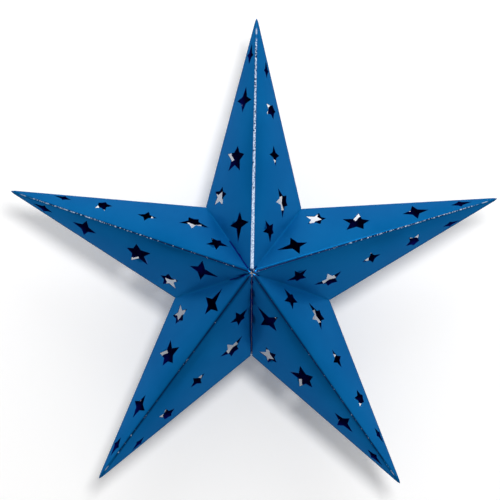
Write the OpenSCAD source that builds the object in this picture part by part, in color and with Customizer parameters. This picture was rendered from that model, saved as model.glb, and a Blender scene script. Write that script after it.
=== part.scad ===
// Five-armed folding star of foil-faced card.
// Each arm is one sheet, scored and folded into four triangular panels, two in
// front and two behind, with a flattened double-scored ridge along each face.
// Neighbouring arms are glued together by flanges along four of the five seams.
// The bottom seam is closed with tape. When it is opened, the star folds up
// like a book around its centre line.
// +Z is up, along the top arm. The front faces -Y. The origin is the centre.
// Left and right are those of an arm that points up, seen from the front.

/* [Star] */
// Distance from the centre to each tip
tip_reach = 160; // [155:1:175]
// Distance from the centre to each notch between two arms
notch_reach = 51; // [49:1:54]
// How far the centre stands out from the plane of the tips, front and back
half_depth = 48; // [42:1:54]

/* [Card] */
// Thickness of the foil-faced card
card = 0.4; // [0.3:0.05:0.5]
// Width of a ridge between its two scores, at the centre of the star
ridge_w = 2.4; // [2.2:0.1:2.8]
// Width of a ridge at the tip of its arm
ridge_tip_w = 0.8; // [0.8:0.1:1.2]
// Depth of the flanges behind each seam
flange_depth = 6; // [4:0.5:8]
// Distance between the middles of two flanges that are stuck together
flange_pitch = 0.6; // [0.6:0.05:0.8]

/* [Creases] */
// Card taken from a panel by the score beside a ridge
ridge_gap = 0.25; // [0.2:0.05:0.35]
// Card taken from a panel by the fold at the outer edge of its arm
edge_gap = 0.35; // [0.3:0.05:0.45]
// Card taken from a panel by the fold at a glued seam
seam_gap = 0.2; // [0.2:0.05:0.35]
// The same at the bottom seam, which stands a little open
open_seam_gap = 0.4; // [0.3:0.05:0.6]

/* [Closing tape] */
// Width of the double-sided tape between the two bottom flanges
tape_w = 4; // [3:0.5:4.5]

/* [Colours] */
// Foil on the panels and flanges
foil = "#1c5f9e"; // [#1c5f9e, #9e1c2b, #2b7a3d]
// Worn foil along the ridges
ridge_foil = "#b8c8dc"; // [#b8c8dc, #1c5f9e]
// Double-sided tape
tape_colour = "#e8e4d8"; // [#e8e4d8, #ffffff]

/* [Hidden] */
ARMS = ["top", "right", "lower_right", "lower_left", "left"];
SEAMS = ["upper_right", "lower_right", "bottom", "lower_left", "upper_left"];
FACES = ["front", "back"];
SIDES = ["left", "right"];
OPEN_SEAM = 2;
LAST = len(ARMS) - 1;
GLUED_SEAMS = [for (k = [0 : LAST]) if (k != OPEN_SEAM) k];
arm_angle = 360 / len(ARMS);

function panel_name(arm, face, side) = str(ARMS[arm], "_", face, "_", side, "_panel");
function ridge_name(arm, face) = str(ARMS[arm], "_", face, "_ridge");
function flanges_name(seam, face) = str(SEAMS[seam], "_", face, "_flanges");
function closing_name(face, side) = str("bottom_", face, "_flange_", side);
function tape_name(face) = str(face, "_closing_tape");

// The right front panel of an arm, as points [across, outwards, forwards].
tip = [ridge_tip_w / 2, tip_reach, 0];
middle = [ridge_w / 2, 0, half_depth];
seam_out = [sin(arm_angle / 2), cos(arm_angle / 2), 0];
seam_across = [cos(arm_angle / 2), -sin(arm_angle / 2), 0];
notch = notch_reach * seam_out - flange_pitch / 2 * seam_across;
// Where the score beside the ridge meets the fold at the seam
to_seam = (-flange_pitch / 2 - tip * seam_across) / ((middle - tip) * seam_across);
hub = tip + to_seam * (middle - tip);

// Directions in the panel: along the ridge, across it, and out of the face
along = (middle - tip) / norm(middle - tip);
normal = cross(middle - tip, notch - tip) / norm(cross(middle - tip, notch - tip));
across = cross(normal, along);
flat_tip = [0, 0];
flat_hub = [norm(hub - tip), 0];
flat_notch = [(notch - tip) * along, (notch - tip) * across];

// Directions of the ridge strip: down the ridge, and out of its face
ridge_length = norm([tip_reach, half_depth]);
down_ridge = [0, -tip_reach, half_depth] / ridge_length;
ridge_out = [0, half_depth, tip_reach] / ridge_length;
ridge_start = 2.5;
ridge_end = ridge_length * (1 - 3.2 / tip_reach);
strip_gap = 0.2;
// A back ridge is hinged to its left panel, and clears its right one as the star
// folds. The clearance grows from nothing at the tip to this at the centre.
back_clearance = 1;

// The flanges and the tape stop short of the centre line and of the mid-plane
flange_start = 2.6;
flange_mitre = 0.3;
tape_inset = (flange_depth - tape_w) / 2;

// Star-shaped cut-outs, from the tip towards the centre. Each has its centre as
// [distance from the tip, distance from the ridge], the angle of its first point,
// the reaches of its points in turn, and the reach of the notches between them.
WIDE_CUTS = [
    [[23, 4.5], 10, [6, 3, 8, 3], 2.2],
    [[52, 9], 10, [8, 7, 9, 7], 3.2],
    [[89, 15], 48, [10, 10, 8, 8, 10], 4.5],
    [[110, 30], 55, [8, 7, 6, 6, 7], 3.5],
    [[133, 11], 5, [12, 9, 8, 9], 3.5]
];
NARROW_CUTS = [
    [[32, 9], 5, [5, 2.4, 7, 2.4], 1.8],
    [[57, 14], 20, [6, 4, 4, 6, 6], 3],
    [[86, 17], 10, [7, 5, 6, 5], 2.4],
    [[114, 26], 0, [11, 5, 6, 9, 7], 3.5],
    [[136, 14], 5, [8, 4, 6, 7, 7], 3]
];
BEHIND_WIDE_CUTS = [
    [[32, 8], 5, [4, 3, 6, 2], 1.5],
    [[57, 15], 10, [6, 4, 4, 6, 3], 2.6],
    [[86, 24], 0, [8, 7, 7, 7, 7], 4],
    [[112, 33], 0, [11, 7, 9, 7, 6], 4],
    [[139, 5], 5, [8, 4, 7, 3], 2]
];
BEHIND_NARROW_CUTS = [
    [[20, 4], 0, [5, 2.5, 6, 2], 1.6],
    [[53, 9], 10, [7, 6, 8, 6], 2.8],
    [[91, 11], 40, [9, 9, 8, 8, 12], 4.5],
    [[116, 21], 0, [10, 7, 8, 9, 8], 4.5],
    [[131, 22], 350, [6, 4, 3, 5], 1.8]
];

// The sheets of the two lower arms are folded with their other face outwards,
// so that their pattern is a mirror image of the others'.
function is_turned(arm) = arm == 2 || arm == 3;
function is_wide(arm, side) = (side == "left") != is_turned(arm);
function cuts(arm, face, side) =
    face == "front"
        ? (is_wide(arm, side) ? WIDE_CUTS : NARROW_CUTS)
        : (is_wide(arm, side) ? BEHIND_WIDE_CUTS : BEHIND_NARROW_CUTS);

// The open seam lies to the right of arm 2 and to the left of arm 3
function is_open(arm, side) =
    (arm == OPEN_SEAM && side == "right") || (arm == OPEN_SEAM + 1 && side == "left");

// Left-hand unit normal of the line from a to b
function left_of(a, b) = [a.y - b.y, b.x - a.x] / norm(b - a);
// Where the line through p along d meets the line through q along e
function meet(p, d, q, e) = p + d * cross(q - p, e) / cross(d, e);
// The corner at b between lines a-b and b-c, moved in by gap_ab and gap_bc
function inset_corner(a, b, c, gap_ab, gap_bc) =
    meet(b + gap_ab * left_of(a, b), b - a, b + gap_bc * left_of(b, c), c - b);

module in_arm(arm, face, side) {
    rotate([0, arm_angle * arm, 0])
        rotate([90, 0, 0])
            mirror([side == "left" ? 1 : 0, 0, 0])
                mirror([0, 0, face == "back" ? 1 : 0])
                    children();
}

// Puts flat work on the plane through an origin with two directions and a normal
module on_plane(origin, x_dir, y_dir, z_dir) {
    multmatrix([
        [x_dir.x, y_dir.x, z_dir.x, origin.x],
        [x_dir.y, y_dir.y, z_dir.y, origin.y],
        [x_dir.z, y_dir.z, z_dir.z, origin.z],
        [0, 0, 0, 1]
    ])
        children();
}

// A star whose points stand evenly round its centre
module star_cut(cut) {
    reaches = cut[2];
    turn = 360 / len(reaches);
    translate(cut[0])
        polygon([for (k = [0 : len(reaches) - 1], half = [0, 0.5])
            let (angle = cut[1] + (k + half) * turn)
            (half == 0 ? reaches[k] : cut[3]) * [cos(angle), sin(angle)]]);
}

module panel(arm, face, side) {
    gap = is_open(arm, side) ? open_seam_gap : seam_gap;
    color(foil)
        in_arm(arm, face, side)
            on_plane(tip, along, across, normal)
                linear_extrude(card, center = true)
                    difference() {
                        polygon([
                            inset_corner(flat_notch, flat_tip, flat_hub, edge_gap, ridge_gap),
                            inset_corner(flat_tip, flat_hub, flat_notch, ridge_gap, gap),
                            inset_corner(flat_hub, flat_notch, flat_tip, gap, edge_gap)
                        ]);
                        for (cut = cuts(arm, face, side)) star_cut(cut);
                    }
}

// Half of a ridge strip's width at a distance from the tip
function strip_half_w(d, clearance) =
    ridge_tip_w / 2 - strip_gap + ((ridge_w - ridge_tip_w) / 2 - clearance) * d / ridge_length;

module ridge(arm, face) {
    clearance = face == "back" ? back_clearance : 0;
    color(ridge_foil)
        in_arm(arm, face, "right")
            on_plane([0, tip_reach, 0], down_ridge, [1, 0, 0], ridge_out)
                linear_extrude(card, center = true)
                    polygon([
                        [ridge_start, -strip_half_w(ridge_start, 0)],
                        [ridge_end, -strip_half_w(ridge_end, 0)],
                        [ridge_end, strip_half_w(ridge_end, clearance)],
                        [ridge_start, strip_half_w(ridge_start, clearance)]
                    ]);
}

// A strip along a seam, between two distances in from the fold. It lies in the
// plane of the seam, as points [outwards, forwards], moved off it by shift.
module seam_strip(near, far, thick, shift) {
    a = [notch * seam_out, 0];
    b = [hub * seam_out, hub.z];
    near_line = a + near * left_of(a, b);
    far_line = a + far * left_of(a, b);
    on_plane(shift * seam_across, seam_out, [0, 0, 1], seam_across)
        linear_extrude(thick, center = true)
            polygon([
                meet(near_line, b - a, [0, flange_mitre], [1, 0]),
                meet(near_line, b - a, [flange_start, 0], [0, 1]),
                meet(far_line, b - a, [flange_start, 0], [0, 1]),
                meet(far_line, b - a, [0, flange_mitre], [1, 0])
            ]);
}

// The two flanges of a glued seam, which lies to the right of its arm
module glued_flanges(seam, face) {
    color(foil)
        in_arm(seam, face, "right")
            seam_strip(seam_gap, flange_depth, flange_pitch + card, 0);
}

// A flange of the open bottom seam, on the arm to its right or its left
module closing_flange(face, side) {
    arm = side == "right" ? OPEN_SEAM : OPEN_SEAM + 1;
    color(foil)
        in_arm(arm, face, side)
            seam_strip(seam_gap, flange_depth, card, -flange_pitch / 2);
}

module closing_tape(face) {
    color(tape_colour)
        in_arm(OPEN_SEAM, face, "right")
            seam_strip(tape_inset, flange_depth - tape_inset, flange_pitch - card, 0);
}

for (arm = [0 : LAST], face = FACES, side = SIDES)
    panel(arm, face, side);
for (arm = [0 : LAST], face = FACES)
    ridge(arm, face);
for (seam = GLUED_SEAMS, face = FACES)
    glued_flanges(seam, face);
for (face = FACES, side = SIDES)
    closing_flange(face, side);
for (face = FACES)
    closing_tape(face);
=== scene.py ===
import math

import bmesh
import bpy
from mathutils import Matrix, Vector, noise


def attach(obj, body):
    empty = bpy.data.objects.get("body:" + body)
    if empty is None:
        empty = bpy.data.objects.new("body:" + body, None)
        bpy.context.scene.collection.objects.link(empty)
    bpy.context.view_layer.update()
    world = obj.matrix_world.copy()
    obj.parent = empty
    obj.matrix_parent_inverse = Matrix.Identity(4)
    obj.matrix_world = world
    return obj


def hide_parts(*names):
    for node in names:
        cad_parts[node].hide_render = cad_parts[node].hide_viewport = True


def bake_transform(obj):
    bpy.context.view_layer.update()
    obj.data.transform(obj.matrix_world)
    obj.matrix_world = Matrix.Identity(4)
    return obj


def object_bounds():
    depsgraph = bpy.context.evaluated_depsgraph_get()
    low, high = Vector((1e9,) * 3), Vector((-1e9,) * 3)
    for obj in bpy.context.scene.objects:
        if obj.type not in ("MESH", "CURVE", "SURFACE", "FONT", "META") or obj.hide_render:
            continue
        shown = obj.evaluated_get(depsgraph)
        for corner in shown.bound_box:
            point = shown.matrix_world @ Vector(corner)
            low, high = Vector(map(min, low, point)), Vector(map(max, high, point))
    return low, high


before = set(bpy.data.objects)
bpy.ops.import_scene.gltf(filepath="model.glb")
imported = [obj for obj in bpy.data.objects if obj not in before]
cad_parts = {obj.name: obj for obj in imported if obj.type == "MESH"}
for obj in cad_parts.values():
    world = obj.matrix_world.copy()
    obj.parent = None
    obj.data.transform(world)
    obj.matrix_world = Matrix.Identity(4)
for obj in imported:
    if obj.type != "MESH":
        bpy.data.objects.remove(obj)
CAD_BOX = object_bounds()

MM = 0.001
ARMS = ("top", "right", "lower_right", "lower_left", "left")
FACES = ("front", "back")
SIDES = ("left", "right")
# Front seams: the arms on their two sides, the one that has the seam on its right
# first, and how much of the seam, from the centre outwards, is an open slit
SEAMS = {
    "upper_right": ("top", "right", 0.04),
    "lower_right": ("right", "lower_right", 0.04),
    "bottom": ("lower_right", "lower_left", 1.0),
    "lower_left": ("lower_left", "left", 0.24),
    "upper_left": ("left", "top", 0.45),
}

# Shape of the card
CARD = 0.4 * MM
BOW = 0.9 * MM  # how far a panel bulges in its middle
DENT = 0.35 * MM  # depth of the soft dents in a panel
DENT_SIZE = 38 * MM
GRID = 5 * MM  # spacing of the lines that a panel is divided by
RIDGE_RISE = 0.25 * MM  # how far a ridge stands out from the edges of its panels
RIDGE_RISE_INSIDE = 0.12 * MM
CRINKLE = 0.13 * MM
CRINKLE_SIZE = 1.6 * MM
FOLD_RISE = 0.3 * MM  # how far the fold at the edge of an arm stands out
SEAM_DIP = 0.05 * MM  # how far a closed seam lies behind the edges of its panels
SEAM_LIFT = 0.22 * MM  # how far the inner face stays clear of the flanges behind
SLIT = 0.5 * MM  # how far a slit draws back each of its edges, at the centre
SLIT_REACH = 4 * MM  # how far from its edge a panel is drawn back
RIDGE_STATIONS = 180  # cross sections along a front ridge
BACK_STATIONS = 90
FOLD_STATIONS = 30
COLUMNS = 7  # points across a fold, a seam or half a front ridge
BACK_COLUMNS = 9  # points across a back ridge
TIP_SHARE = 0.15  # size of the first cross section, at the very tip
TIP_REACH = 2.4 * MM  # how far the card runs on past the corners of its panels
FRONT_HUB_SHARE = 0.35  # size of a ridge's last cross section, towards the centre
BACK_HUB_SHARE = 0.05
WIDE_SILVER_SHARE = 0.7  # how much of a ridge's width has the silver wear and painted light, on the top and back ridges
THIN_SILVER_SHARE = 0.3  # the same, narrower, on the other front ridges, painted as catching less light
NARROW_SHARE = 0.15  # where along a ridge the two points across it are taken
MERGE = 1e-7  # points closer together than this are one point
PANEL_ANGLE = 30  # degrees from which an edge of a panel stays sharp
STRIP_ANGLE = 40  # the same for ridges, folds and seams


# ---------------------------------------------------------------- panels


def panel_name(arm, face, side):
    return f"{arm}_{face}_{side}_panel"


def across_distance(point, a, b):
    """Distance of a point from the line through a and b."""
    along = (b - a).normalized()
    return ((point - a) - (point - a).dot(along) * along).length


def panel_corners(arm, face, side):
    """The panel's outward normal, and its tip, hub and notch corners, each on the
    outer and the inner face."""
    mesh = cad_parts[panel_name(arm, face, side)].data
    largest = max(mesh.polygons, key=lambda polygon: polygon.area)
    normal = largest.normal.copy()
    if (normal.y > 0) == (face == "front"):
        normal.negate()
    points = [v.co.copy() for v in mesh.vertices]
    middle = sum(points, Vector()) / len(points)
    corners = {"normal": normal}
    for layer, sign in (("outer", 1), ("inner", -1)):
        own = [p for p in points if sign * (p - middle).dot(normal) > 0]
        tip = max(own, key=lambda p: math.hypot(p.x, p.z))
        hub = min(own, key=lambda p: math.hypot(p.x, p.z))
        notch = max(own, key=lambda p: across_distance(p, tip, hub))
        corners[layer] = {"tip": tip, "hub": hub, "notch": notch}
    return corners


CORNERS = {
    (arm, face, side): panel_corners(arm, face, side)
    for arm in ARMS
    for face in FACES
    for side in SIDES
}


def outline_share(point, tip, hub, notch):
    """0 on the outline of the triangle and 1 in its middle."""
    whole = (hub - tip).cross(notch - tip).length
    share = 27.0  # in the middle each of the three factors below is a third
    for a, b in ((tip, hub), (hub, notch), (notch, tip)):
        share *= (a - point).cross(b - point).length / whole
    return min(share, 1.0)


def slit_share(arm, face, side):
    """How much of the panel's seam, from the centre outwards, is an open slit."""
    for right_of, left_of, share in SEAMS.values():
        if face == "front" and (arm, side) in ((right_of, "right"), (left_of, "left")):
            return share
    return 0.0


def drawn_back(place, hub, notch, normal, share):
    """How far a point of a panel moves away from the slit beside it."""
    edge = notch - hub
    inwards = normal.cross(edge).normalized()
    if inwards.dot(place - hub) < 0:
        inwards.negate()
    closeness = 1 - (place - hub).dot(inwards) / SLIT_REACH
    opening = 1 - (place - hub).dot(edge) / edge.length_squared / share
    if closeness <= 0 or opening <= 0:
        return Vector()
    return inwards * SLIT * opening * min(closeness, 1.0) ** 2


def smooth_by_angle(mesh, degrees):
    mesh.polygons.foreach_set("use_smooth", [True] * len(mesh.polygons))
    mesh.set_sharp_from_angle(angle=math.radians(degrees))


def make_object(name, mesh, *materials):
    piece = bpy.data.objects.new(name, mesh)
    bpy.context.scene.collection.objects.link(piece)
    for material in materials:
        mesh.materials.append(material)
    return piece


def divide(bm, origin, direction, reach):
    """Cuts the mesh by parallel planes, GRID apart."""
    for step in range(1, int(reach / GRID) + 1):
        everything = bm.verts[:] + bm.edges[:] + bm.faces[:]
        place = origin + step * GRID * direction
        bmesh.ops.bisect_plane(
            bm, geom=everything, dist=MERGE, plane_co=place, plane_no=direction
        )


def divided_panel(name, normal, tip, hub, notch):
    """The CAD panel with a grid of lines on it, so that it can bow. Its outer face
    has the first material, and all that lies deeper has the second."""
    along = (hub - tip).normalized()
    across = normal.cross(along)
    if across.dot(notch - tip) < 0:
        across.negate()
    bm = bmesh.new()
    bm.from_mesh(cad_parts[name].data)
    bmesh.ops.remove_doubles(bm, verts=bm.verts[:], dist=MERGE)
    divide(bm, tip, along, (hub - tip).length)
    divide(bm, tip, across, (notch - tip).dot(across))
    for polygon in bm.faces:
        depth = (tip - polygon.calc_center_median()).dot(normal)
        polygon.material_index = 0 if depth < CARD / 4 else 1
    return bm


def make_panel(arm, face, side):
    """One triangular panel with its cut-outs, softly bowed and dented."""
    name = panel_name(arm, face, side)
    normal = CORNERS[arm, face, side]["normal"]
    outer = CORNERS[arm, face, side]["outer"]
    tip, hub, notch = outer["tip"], outer["hub"], outer["notch"]
    bm = divided_panel(name, normal, tip, hub, notch)
    slit = slit_share(arm, face, side)
    for vertex in bm.verts:
        place = vertex.co - (vertex.co - tip).dot(normal) * normal
        share = outline_share(place, tip, hub, notch)
        dent = DENT * noise.noise(place / DENT_SIZE)
        vertex.co += share * (BOW + dent) * normal
        if slit:
            vertex.co += drawn_back(place, hub, notch, normal, slit)
    bmesh.ops.recalc_face_normals(bm, faces=bm.faces[:])
    mesh = bpy.data.meshes.new(name + "_foil")
    bm.to_mesh(mesh)
    bm.free()
    smooth_by_angle(mesh, PANEL_ANGLE)
    piece = make_object(name + "_foil", mesh, FOIL, INSIDE_AND_SHADE)
    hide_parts(name)
    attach(piece, name)


# ------------------------------------------------- ridges, folds and seams


def make_slab(name, outer, inner, material, places=None, silver_share=WIDE_SILVER_SHARE):
    """A closed thin piece between two grids of points of the same size. Where the
    places across are given, only the middle has the material, with foil beside it."""
    rows, columns = len(outer), len(outer[0])
    bm = bmesh.new()
    layers = [[[bm.verts.new(p) for p in row] for row in grid] for grid in (outer, inner)]
    for layer in layers:
        for i in range(rows - 1):
            for j in range(columns - 1):
                face = bm.faces.new(
                    (layer[i][j], layer[i + 1][j], layer[i + 1][j + 1], layer[i][j + 1])
                )
                if places and abs(places[j] + places[j + 1]) / 2 > silver_share:
                    face.material_index = 1
    border = [(i, 0) for i in range(rows)]
    border += [(rows - 1, j) for j in range(1, columns)]
    border += [(i, columns - 1) for i in range(rows - 2, -1, -1)]
    border += [(0, j) for j in range(columns - 2, 0, -1)]
    for (i, j), (k, m) in zip(border, border[1:] + border[:1]):
        bm.faces.new((layers[0][i][j], layers[0][k][m], layers[1][k][m], layers[1][i][j]))
    bmesh.ops.remove_doubles(bm, verts=bm.verts[:], dist=MERGE)
    bmesh.ops.recalc_face_normals(bm, faces=bm.faces[:])
    mesh = bpy.data.meshes.new(name)
    bm.to_mesh(mesh)
    bm.free()
    smooth_by_angle(mesh, STRIP_ANGLE)
    return make_object(name, mesh, *((material, FOIL) if places else (material,)))


def spread(columns, start=-1.0, end=1.0):
    return [start + (end - start) * j / (columns - 1) for j in range(columns)]


def bridge(line_a, line_b, shares, places, rise, crinkle=0.0):
    """A grid of points between two lines, each a pair of end points. It has a row
    at each share of their length and a point at each place across, from -1 on
    line_a to 1 on line_b. rise is a vector that lifts its middle."""
    grid = []
    for share in shares:
        a = line_a[0].lerp(line_a[1], share)
        b = line_b[0].lerp(line_b[1], share)
        row = []
        for u in places:
            point = a.lerp(b, (u + 1) / 2) + rise * (1 - u**4)
            if crinkle:
                wave = noise.noise(point / CRINKLE_SIZE)
                point += rise.normalized() * crinkle * wave * (1 - u * u)
            row.append(point)
        grid.append(row)
    return grid


def drawn_to(apex, row, share):
    """The row of points drawn together towards the apex."""
    return [apex.lerp(point, share) for point in row]


def arm_tip(arm):
    """The point that the corners of an arm's four panels run to."""
    corners = [
        CORNERS[arm, face, side]["outer"] for face in FACES for side in SIDES
    ]
    middle = sum((c["tip"] for c in corners), Vector()) / len(corners)
    back = sum((c["hub"] for c in corners), Vector()) / len(corners)
    outwards = (middle - back).normalized()
    return middle + outwards * TIP_REACH


def hub_point(face):
    """The point on the star's axis that the panels of a face run to."""
    hubs = [c["outer"]["hub"] for key, c in CORNERS.items() if key[1] == face]
    return sum(hubs, Vector()) / len(hubs)


def edge_lines(keys, ends):
    """For each layer, the line between two corners of each named panel."""
    return {
        layer: [tuple(CORNERS[key][layer][end] for end in ends) for key in keys]
        for layer in ("outer", "inner")
    }


def bridge_slab(name, lines, shares, places, rises, material, arm=None, silvered=False):
    """A slab between two panel edges. rises lift its outer and its inner face. With
    an arm it runs out to that arm's tip, and a silvered one, a ridge with wear and
    painted light, is crinkled and ends at the hub."""
    grids = []
    for layer, rise in zip(("outer", "inner"), rises):
        a, b = lines[layer]
        depth = CRINKLE if silvered and layer == "outer" else 0.0
        grid = bridge(a, b, shares, places, rise, depth)
        if arm:
            grid.insert(0, drawn_to(arm_tip(arm), grid[0], TIP_SHARE))
        if silvered:
            grid.append(drawn_to(hub_point("front"), grid[-1], FRONT_HUB_SHARE))
        grids.append(grid)
    # painted highlight: the top ridge gets a wider band of silver than the others
    share = WIDE_SILVER_SHARE if arm == "top" else THIN_SILVER_SHARE
    return make_slab(name, *grids, material, places if silvered else None, share)


def ridge_frame(arm, face):
    """The lines beside a ridge and the direction that it faces."""
    keys = [(arm, face, side) for side in SIDES]
    lines = edge_lines(keys, ("tip", "hub"))
    out = sum((CORNERS[key]["normal"] for key in keys), Vector()).normalized()
    return lines, out


def blend_ends(line_a, line_b, share):
    return line_a[0].lerp(line_a[1], share), line_b[0].lerp(line_b[1], share)


def make_front_ridge(arm):
    """The strip between the two front panels of an arm, with silver wear and painted light.
    """
    lines, out = ridge_frame(arm, "front")
    rises = (out * RIDGE_RISE, out * RIDGE_RISE_INSIDE)
    shares = spread(RIDGE_STATIONS, 0.0, 1.0)
    material = RIDGES[arm]
    node = f"{arm}_front_ridge"
    a, b = blend_ends(*lines["outer"], NARROW_SHARE)
    bodies = [panel_name(arm, "front", side) for side in SIDES]
    if arm != "top":
        places = spread(2 * COLUMNS - 1)
        piece = bridge_slab(
            node + "_foil", lines, shares, places, rises, material, arm, True
        )
        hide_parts(node)
        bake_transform(piece)
        return
    for side, body, places, end in (
        ("left", bodies[0], spread(COLUMNS, 0.0, -1.0), a),
        ("right", bodies[1], spread(COLUMNS, 0.0, 1.0), b),
    ):
        piece = bridge_slab(
            f"{node}_{side}_foil", lines, shares, places, rises, material, arm, True
        )
        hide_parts(node)
        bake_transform(piece)


def free_edge(node, left, across):
    """The two ends of a back ridge's free edge, and how far along the ridge's left
    line they are."""
    strip = [v.co.copy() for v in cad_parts[node].data.vertices]
    along = (left[1] - left[0]).normalized()
    whole = (left[1] - left[0]).length
    ends = []
    for reverse in (False, True):
        ordered = sorted(strip, key=lambda p: (p - left[0]).dot(along), reverse=reverse)
        ends.append(max(ordered[: len(strip) // 2], key=lambda p: p.dot(across)))
    start, stop = ((p - left[0]).dot(along) / whole for p in ends)
    return ends, start, stop


def back_row(a, b, reach, lift, crinkled, out):
    """A row of points from a towards b, as far as the share reach of the way."""
    row = []
    for j in range(BACK_COLUMNS):
        u = -1 + 2 * reach * j / (BACK_COLUMNS - 1)
        point = a.lerp(b, (u + 1) / 2) + out * lift * (1 - u**4)
        wave = noise.noise(point / CRINKLE_SIZE) if crinkled else 0.0
        row.append(point + out * CRINKLE * wave * (1 - u * u))
    return row


def make_back_ridge(arm):
    """The strip between the two back panels. It follows the CAD strip, which in the
    model is hinged to the left one and has its clearance at the right one."""
    node = f"{arm}_back_ridge"
    lines, out = ridge_frame(arm, "back")
    left, right = lines["outer"]
    across = (right[1] - left[1]).normalized()
    ends, start, stop = free_edge(node, left, across)
    grids = []
    for layer, lift in (("outer", RIDGE_RISE), ("inner", RIDGE_RISE_INSIDE)):
        line_a, line_b = lines[layer]
        grid = []
        for share in spread(BACK_STATIONS, start, stop):
            a = line_a[0].lerp(line_a[1], share)
            b = line_b[0].lerp(line_b[1], share)
            edge = ends[0].lerp(ends[1], (share - start) / (stop - start))
            reach = min((edge - a).dot(across) / (b - a).dot(across), 1.0)
            grid.append(back_row(a, b, reach, lift, layer == "outer", out))
        grid.append(drawn_to(hub_point("back"), grid[-1], BACK_HUB_SHARE))
        grids.append(grid)
    piece = make_slab(node + "_foil", *grids, RIDGES["back"], spread(BACK_COLUMNS))
    a, b = blend_ends(left, right, NARROW_SHARE)
    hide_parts(node)
    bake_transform(piece)


def make_fold(arm, side):
    """The fold between the front and the back panel at the outer edge of an arm."""
    keys = [(arm, face, side) for face in FACES]
    lines = edge_lines(keys, ("tip", "notch"))
    middle = sum((sum(line, Vector()) for line in lines["outer"]), Vector()) / 4
    out = middle - (CORNERS[keys[0]]["outer"]["hub"] + CORNERS[keys[1]]["outer"]["hub"]) / 2
    out.y = 0.0
    edge = (lines["outer"][0][1] - lines["outer"][0][0]).normalized()
    out = (out - out.dot(edge) * edge).normalized()
    rises = (out * FOLD_RISE, out * FOLD_RISE)
    shares = spread(FOLD_STATIONS, 0.0, 1.0)
    piece = bridge_slab(
        f"{arm}_{side}_edge_fold", lines, shares, spread(COLUMNS), rises, SHADED_FOLD, arm
    )
    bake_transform(piece)


def make_seam(seam):
    """The creased card that closes a front seam, outwards of its open slit."""
    left_arm, right_arm, slit = SEAMS[seam]
    keys = [(left_arm, "front", "right"), (right_arm, "front", "left")]
    lines = edge_lines(keys, ("hub", "notch"))
    out = sum((CORNERS[key]["normal"] for key in keys), Vector()).normalized()
    rises = (-out * SEAM_DIP, out * SEAM_LIFT)
    shares = spread(FOLD_STATIONS, slit, 1.0)
    piece = bridge_slab(f"{seam}_seam", lines, shares, spread(COLUMNS), rises, FOIL)
    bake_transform(piece)


# -------------------------------------------------------------- materials


class Look:
    """A node material on object coordinates, which start at the star's centre."""

    def __init__(self, name):
        self.material = bpy.data.materials.new(name)
        self.material.use_nodes = True
        self.tree = self.material.node_tree
        self.shader = self.tree.nodes["Principled BSDF"]
        self.place = self.node("ShaderNodeTexCoord").outputs["Object"]

    def node(self, kind, **settings):
        made = self.tree.nodes.new(kind)
        for key, value in settings.items():
            setattr(made, key, value)
        return made

    def link(self, output, socket):
        self.tree.links.new(output, socket)

    def noise(self, size, detail=3.0):
        """Noise of a given size in metres, from 0 to 1."""
        texture = self.node("ShaderNodeTexNoise")
        texture.inputs["Scale"].default_value = 1 / size
        texture.inputs["Detail"].default_value = detail
        self.link(self.place, texture.inputs["Vector"])
        return texture.outputs["Fac"]

    def ramp(self, value, low, high, out_low=0.0, out_high=1.0):
        mapped = self.node("ShaderNodeMapRange", interpolation_type="SMOOTHSTEP")
        mapped.inputs["From Min"].default_value = low
        mapped.inputs["From Max"].default_value = high
        mapped.inputs["To Min"].default_value = out_low
        mapped.inputs["To Max"].default_value = out_high
        self.link(value, mapped.inputs["Value"])
        return mapped.outputs["Result"]

    def maths(self, operation, a, b):
        made = self.node("ShaderNodeMath", operation=operation)
        for socket, value in zip(made.inputs, (a, b)):
            if isinstance(value, float):
                socket.default_value = value
            else:
                self.link(value, socket)
        return made.outputs["Value"]

    def mix(self, share, a, b):
        mixed = self.node("ShaderNodeMix", data_type="RGBA")
        self.link(share, mixed.inputs["Factor"])
        for socket, value in ((mixed.inputs[6], a), (mixed.inputs[7], b)):
            if isinstance(value, tuple):
                socket.default_value = (*value, 1.0)
            else:
                self.link(value, socket)
        return mixed.outputs[2]

    def from_centre(self):
        """Distance from the star's centre, seen from the front."""
        flat = self.node("ShaderNodeVectorMath", operation="MULTIPLY")
        flat.inputs[1].default_value = (1.0, 0.0, 1.0)
        self.link(self.place, flat.inputs[0])
        length = self.node("ShaderNodeVectorMath", operation="LENGTH")
        self.link(flat.outputs["Vector"], length.inputs[0])
        return length.outputs["Value"]

    def bump(self, height, strength, distance):
        bump = self.node("ShaderNodeBump")
        bump.inputs["Strength"].default_value = strength
        bump.inputs["Distance"].default_value = distance
        self.link(height, bump.inputs["Height"])
        self.link(bump.outputs["Normal"], self.shader.inputs["Normal"])


BLUE = (0.0, 0.102, 0.305)
BLUE_LIGHT = (0.002, 0.118, 0.335)
# the next blue is painted shade: on the foil near the centre and on the edge folds
BLUE_SHADE = (0.0, 0.066, 0.22)
BLUE_TINT = (0.05, 0.45, 0.9)
NAVY = (0.002, 0.003, 0.10)
NAVY_LIGHT = (0.003, 0.005, 0.14)
SILVER = (0.56, 0.66, 0.80)
SILVER_DULL = (0.20, 0.30, 0.48)
# painted shade: the dark line along the ridges
CREASE_SHADE = (0.001, 0.012, 0.07)
TAPE_LIGHT = (0.80, 0.77, 0.68)
TAPE_DARK = (0.70, 0.67, 0.58)

# Stretches of a ridge over which its look changes, from the star's centre outwards
CENTRE_END = (2 * MM, 3.5 * MM)  # the ridge is painted dark inside this, as shade
WEAR_AND_SHEEN_CHANGE = (15 * MM, 120 * MM)  # from the wear and painted light at the centre to that at the tip
CREASE_SHADE_END = (140 * MM, 146 * MM)  # plain blue takes over from the dark crease, which is painted shade
SILVER_END = (145 * MM, 149 * MM)
MARK_START = (150 * MM, 151 * MM)  # the bright mark near the tip
MARK_END = (153 * MM, 155 * MM)


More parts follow.
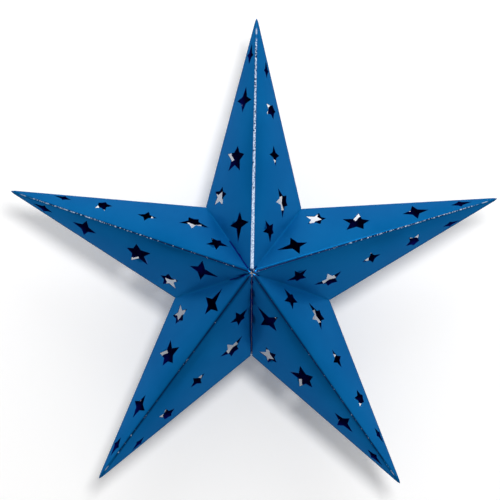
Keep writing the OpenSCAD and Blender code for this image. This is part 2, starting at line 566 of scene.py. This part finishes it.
def foil_look():
    """Satin metallic foil, a little uneven, with painted shade that darkens it towards the
    star's centre.
    """
    look = Look("foil")
    patches = look.ramp(look.noise(45 * MM), 0.35, 0.68)
    tone = look.mix(patches, BLUE, BLUE_LIGHT)
    # painted shade: the foil turns darker towards the star's centre
    hub_shade = look.ramp(look.from_centre(), 0.0, 55 * MM, 0.45, 0.0)
    tone = look.mix(hub_shade, tone, BLUE_SHADE)
    look.link(tone, look.shader.inputs["Base Color"])
    look.shader.inputs["Metallic"].default_value = 0.45
    look.shader.inputs["Specular IOR Level"].default_value = 0.05
    look.shader.inputs["Specular Tint"].default_value = (*BLUE_TINT, 1.0)
    rough = look.ramp(look.noise(18 * MM), 0.3, 0.7, 0.17, 0.25)
    look.link(rough, look.shader.inputs["Roughness"])
    grain = look.noise(0.5 * MM, 2.0)
    look.bump(grain, 0.05, 0.02 * MM)
    return look.material


def inside_look():
    """The dark inner side and cut edges of the card, also put on the flanges: partly the
    card's own dark navy, partly painted shade in the slits, holes and edges.
    """
    look = Look("card_inside_and_painted_shade")
    tone = look.mix(look.ramp(look.noise(9 * MM), 0.3, 0.7), NAVY, NAVY_LIGHT)
    look.link(tone, look.shader.inputs["Base Color"])
    look.shader.inputs["Roughness"].default_value = 0.8
    look.shader.inputs["Specular IOR Level"].default_value = 0.02
    look.bump(look.noise(0.8 * MM), 0.2, 0.05 * MM)
    return look.material


def fold_look():
    """Foil on a sharp fold, painted darker than the panels as shade along the outline of
    the arms; where it is rubbed it shows the plain blue.
    """
    look = Look("folded_foil_painted_shade")
    rubbed = look.ramp(look.noise(2.5 * MM), 0.5, 0.75)
    look.link(look.mix(rubbed, BLUE_SHADE, BLUE), look.shader.inputs["Base Color"])
    look.shader.inputs["Metallic"].default_value = 0.7
    look.shader.inputs["Roughness"].default_value = 0.4
    look.bump(look.noise(1.5 * MM), 0.2, 0.05 * MM)
    return look.material


def ridge_look(name, hub_wear_and_sheen, tip_wear_and_sheen):
    """Foil rubbed down to bright metal in flecks, and painted light: the amount of
    bright metal stands in for the light a ridge catches. The wear and sheen, from 0 to 1,
    changes along the ridge. It stops short of the tip, where there is only a bright mark."""
    look = Look("worn_foil_and_painted_light_" + name)
    distance = look.from_centre()
    flecks = look.noise(1.1 * MM, 4.0)
    wear_and_sheen = look.ramp(distance, *WEAR_AND_SHEEN_CHANGE, hub_wear_and_sheen, tip_wear_and_sheen)
    bared_and_lit = look.maths("ADD", flecks, look.maths("MULTIPLY", wear_and_sheen, 0.45))
    silvered = look.ramp(bared_and_lit, 0.66, 0.74)
    silvered = look.maths("MULTIPLY", silvered, look.ramp(distance, *SILVER_END, 1.0, 0.0))
    silvered = look.maths("MULTIPLY", silvered, look.ramp(distance, *CENTRE_END))
    mark_start = look.ramp(distance, *MARK_START)
    mark_end = look.ramp(distance, *MARK_END, 0.8, 0.0)
    silvered = look.maths("MAXIMUM", silvered, look.maths("MULTIPLY", mark_start, mark_end))
    tone = look.ramp(look.noise(0.8 * MM, 2.0), 0.35, 0.65)
    silver = look.mix(tone, SILVER_DULL, SILVER)
    # painted shade: where no silver shows the ridge is dark, plain blue only near the tip
    unsilvered = look.mix(look.ramp(distance, *CREASE_SHADE_END), CREASE_SHADE, BLUE)
    look.link(look.mix(silvered, unsilvered, silver), look.shader.inputs["Base Color"])
    look.link(look.ramp(silvered, 0.0, 1.0, 0.6, 0.3), look.shader.inputs["Metallic"])
    look.shader.inputs["Specular IOR Level"].default_value = 0.2
    look.link(look.ramp(flecks, 0.3, 0.7, 0.3, 0.5), look.shader.inputs["Roughness"])
    look.bump(flecks, 0.5, 0.12 * MM)
    return look.material


def tape_look():
    """Dull cream tape."""
    look = Look("tape")
    tone = look.mix(look.ramp(look.noise(3 * MM), 0.3, 0.7), TAPE_LIGHT, TAPE_DARK)
    look.link(tone, look.shader.inputs["Base Color"])
    look.shader.inputs["Roughness"].default_value = 0.55
    look.bump(look.noise(0.6 * MM), 0.1, 0.03 * MM)
    return look.material


# ----------------------------------------------------------- light and camera

SKY = 0.65  # strength of the light from straight above. There is none from below.
KEY_PLACE = (0.28, -2.0, 0.42)
KEY_SIZE = 0.45
KEY_POWER = 23.0
TOP_PLACE = (0.2, -1.0, 1.8)
TOP_SIZE = 1.2
TOP_POWER = 11.5
WALL_GAP = 1.5 * MM  # from the back of the star to the wall
WALL_SIZE = 6.0
WALL_GLOW = 0.17
WALL_COLOUR = (0.95, 0.945, 0.94)
VIEW_SHARE = 1.04  # width of the picture, as a share of the star's
VIEW_DISTANCE = 2.0
VIEW_ROLL = 0.9  # degrees
CAMERA_ASIDE = 20 * MM  # how far right of its target the camera stands
CAMERA_DROP = 40 * MM  # and how far below it
TARGET_ASIDE = 1.9 * MM  # how far left of the star's middle the target is


def make_world():
    """White light that fades from above to below."""
    world = bpy.data.worlds.new("studio")
    bpy.context.scene.world = world
    world.use_nodes = True
    nodes, links = world.node_tree.nodes, world.node_tree.links
    place = nodes.new("ShaderNodeTexCoord").outputs["Generated"]
    split = nodes.new("ShaderNodeSeparateXYZ")
    links.new(place, split.inputs["Vector"])
    strength = nodes.new("ShaderNodeMapRange")
    strength.inputs["From Min"].default_value = -1.0
    strength.inputs["To Min"].default_value = 0.0
    strength.inputs["To Max"].default_value = SKY
    links.new(split.outputs["Z"], strength.inputs["Value"])
    links.new(strength.outputs["Result"], nodes["Background"].inputs["Strength"])
    nodes["Background"].inputs["Color"].default_value = (1.0, 1.0, 1.0, 1.0)


def make_light(name, place, size, power):
    """A round soft light that faces the star's centre."""
    data = bpy.data.lights.new(name, "AREA")
    data.shape = "DISK"
    data.size = size
    data.energy = power
    light = bpy.data.objects.new(name, data)
    light.location = place
    light.rotation_euler = (-Vector(place)).to_track_quat("-Z", "Y").to_euler()
    bpy.context.scene.collection.objects.link(light)


def make_backdrop():
    """A pale wall just behind the star. Its back lets the view through, so that
    the star is seen from behind too."""
    depth = CAD_BOX[1].y + WALL_GAP
    bpy.ops.mesh.primitive_plane_add(size=WALL_SIZE, location=(0.0, depth, 0.0))
    wall = bpy.context.active_object
    wall.name = "backdrop"
    wall.rotation_euler = (math.radians(90), 0.0, 0.0)
    material = bpy.data.materials.new("backdrop")
    material.use_nodes = True
    nodes, links = material.node_tree.nodes, material.node_tree.links
    shader = nodes["Principled BSDF"]
    shader.inputs["Base Color"].default_value = (*WALL_COLOUR, 1.0)
    shader.inputs["Emission Color"].default_value = (1.0, 1.0, 1.0, 1.0)
    shader.inputs["Emission Strength"].default_value = WALL_GLOW
    shader.inputs["Roughness"].default_value = 0.9
    shader.inputs["Specular IOR Level"].default_value = 0.0
    clear = nodes.new("ShaderNodeBsdfTransparent")
    either = nodes.new("ShaderNodeMixShader")
    links.new(nodes.new("ShaderNodeNewGeometry").outputs["Backfacing"], either.inputs[0])
    links.new(shader.outputs["BSDF"], either.inputs[1])
    links.new(clear.outputs["BSDF"], either.inputs[2])
    links.new(either.outputs["Shader"], nodes["Material Output"].inputs["Surface"])
    wall.data.materials.append(material)


def make_camera():
    """Almost straight in front, from two metres away and a little below."""
    low, high = CAD_BOX
    view_width = (high.x - low.x) * VIEW_SHARE
    data = bpy.data.cameras.new("camera")
    data.lens = data.sensor_width * VIEW_DISTANCE / view_width
    camera = bpy.data.objects.new("camera", data)
    middle = (low + high) / 2
    target = Vector((middle.x - TARGET_ASIDE, 0.0, middle.z))
    spot = target + Vector((CAMERA_ASIDE, -VIEW_DISTANCE, -CAMERA_DROP))
    turn = (target - spot).to_track_quat("-Z", "Y").to_matrix().to_4x4()
    roll = Matrix.Rotation(math.radians(VIEW_ROLL), 4, "Z")
    camera.matrix_world = Matrix.Translation(spot) @ turn @ roll
    bpy.context.scene.collection.objects.link(camera)
    bpy.context.scene.camera = camera


# ------------------------------------------------------------------- build

FOIL = foil_look()
INSIDE_AND_SHADE = inside_look()
SHADED_FOLD = fold_look()
TAPE = tape_look()
# Lit and shaded copies of one ridge look, as painted light: most silver on the top ridge,
# which faces the light above, less on the side and back ridges, least on the lower ones.
SIDE_RIDGE = ridge_look("side", 0.05, 0.42)
LOWER_RIDGE = ridge_look("lower", 0.0, 0.12)
RIDGES = {
    "top": ridge_look("top", 0.8, 0.5),
    "right": SIDE_RIDGE,
    "left": SIDE_RIDGE,
    "lower_right": LOWER_RIDGE,
    "lower_left": LOWER_RIDGE,
    "back": SIDE_RIDGE,
}

for arm, face, side in CORNERS:
    make_panel(arm, face, side)
for arm in ARMS:
    make_front_ridge(arm)
    make_back_ridge(arm)
    for side in SIDES:
        make_fold(arm, side)
for seam, (_, _, slit) in SEAMS.items():
    if slit < 1.0:
        make_seam(seam)
# The flanges get the dark inside card, partly painted shade that makes the slits read dark;
# the tape keeps its own cream.
for name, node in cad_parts.items():
    if "flange" in name or "tape" in name:
        node.data.materials.clear()
        node.data.materials.append(TAPE if "tape" in name else INSIDE_AND_SHADE)

make_world()
make_light("key", KEY_PLACE, KEY_SIZE, KEY_POWER)
make_light("top", TOP_PLACE, TOP_SIZE, TOP_POWER)
make_backdrop()
make_camera()
bpy.context.scene.view_settings.view_transform = "Standard"
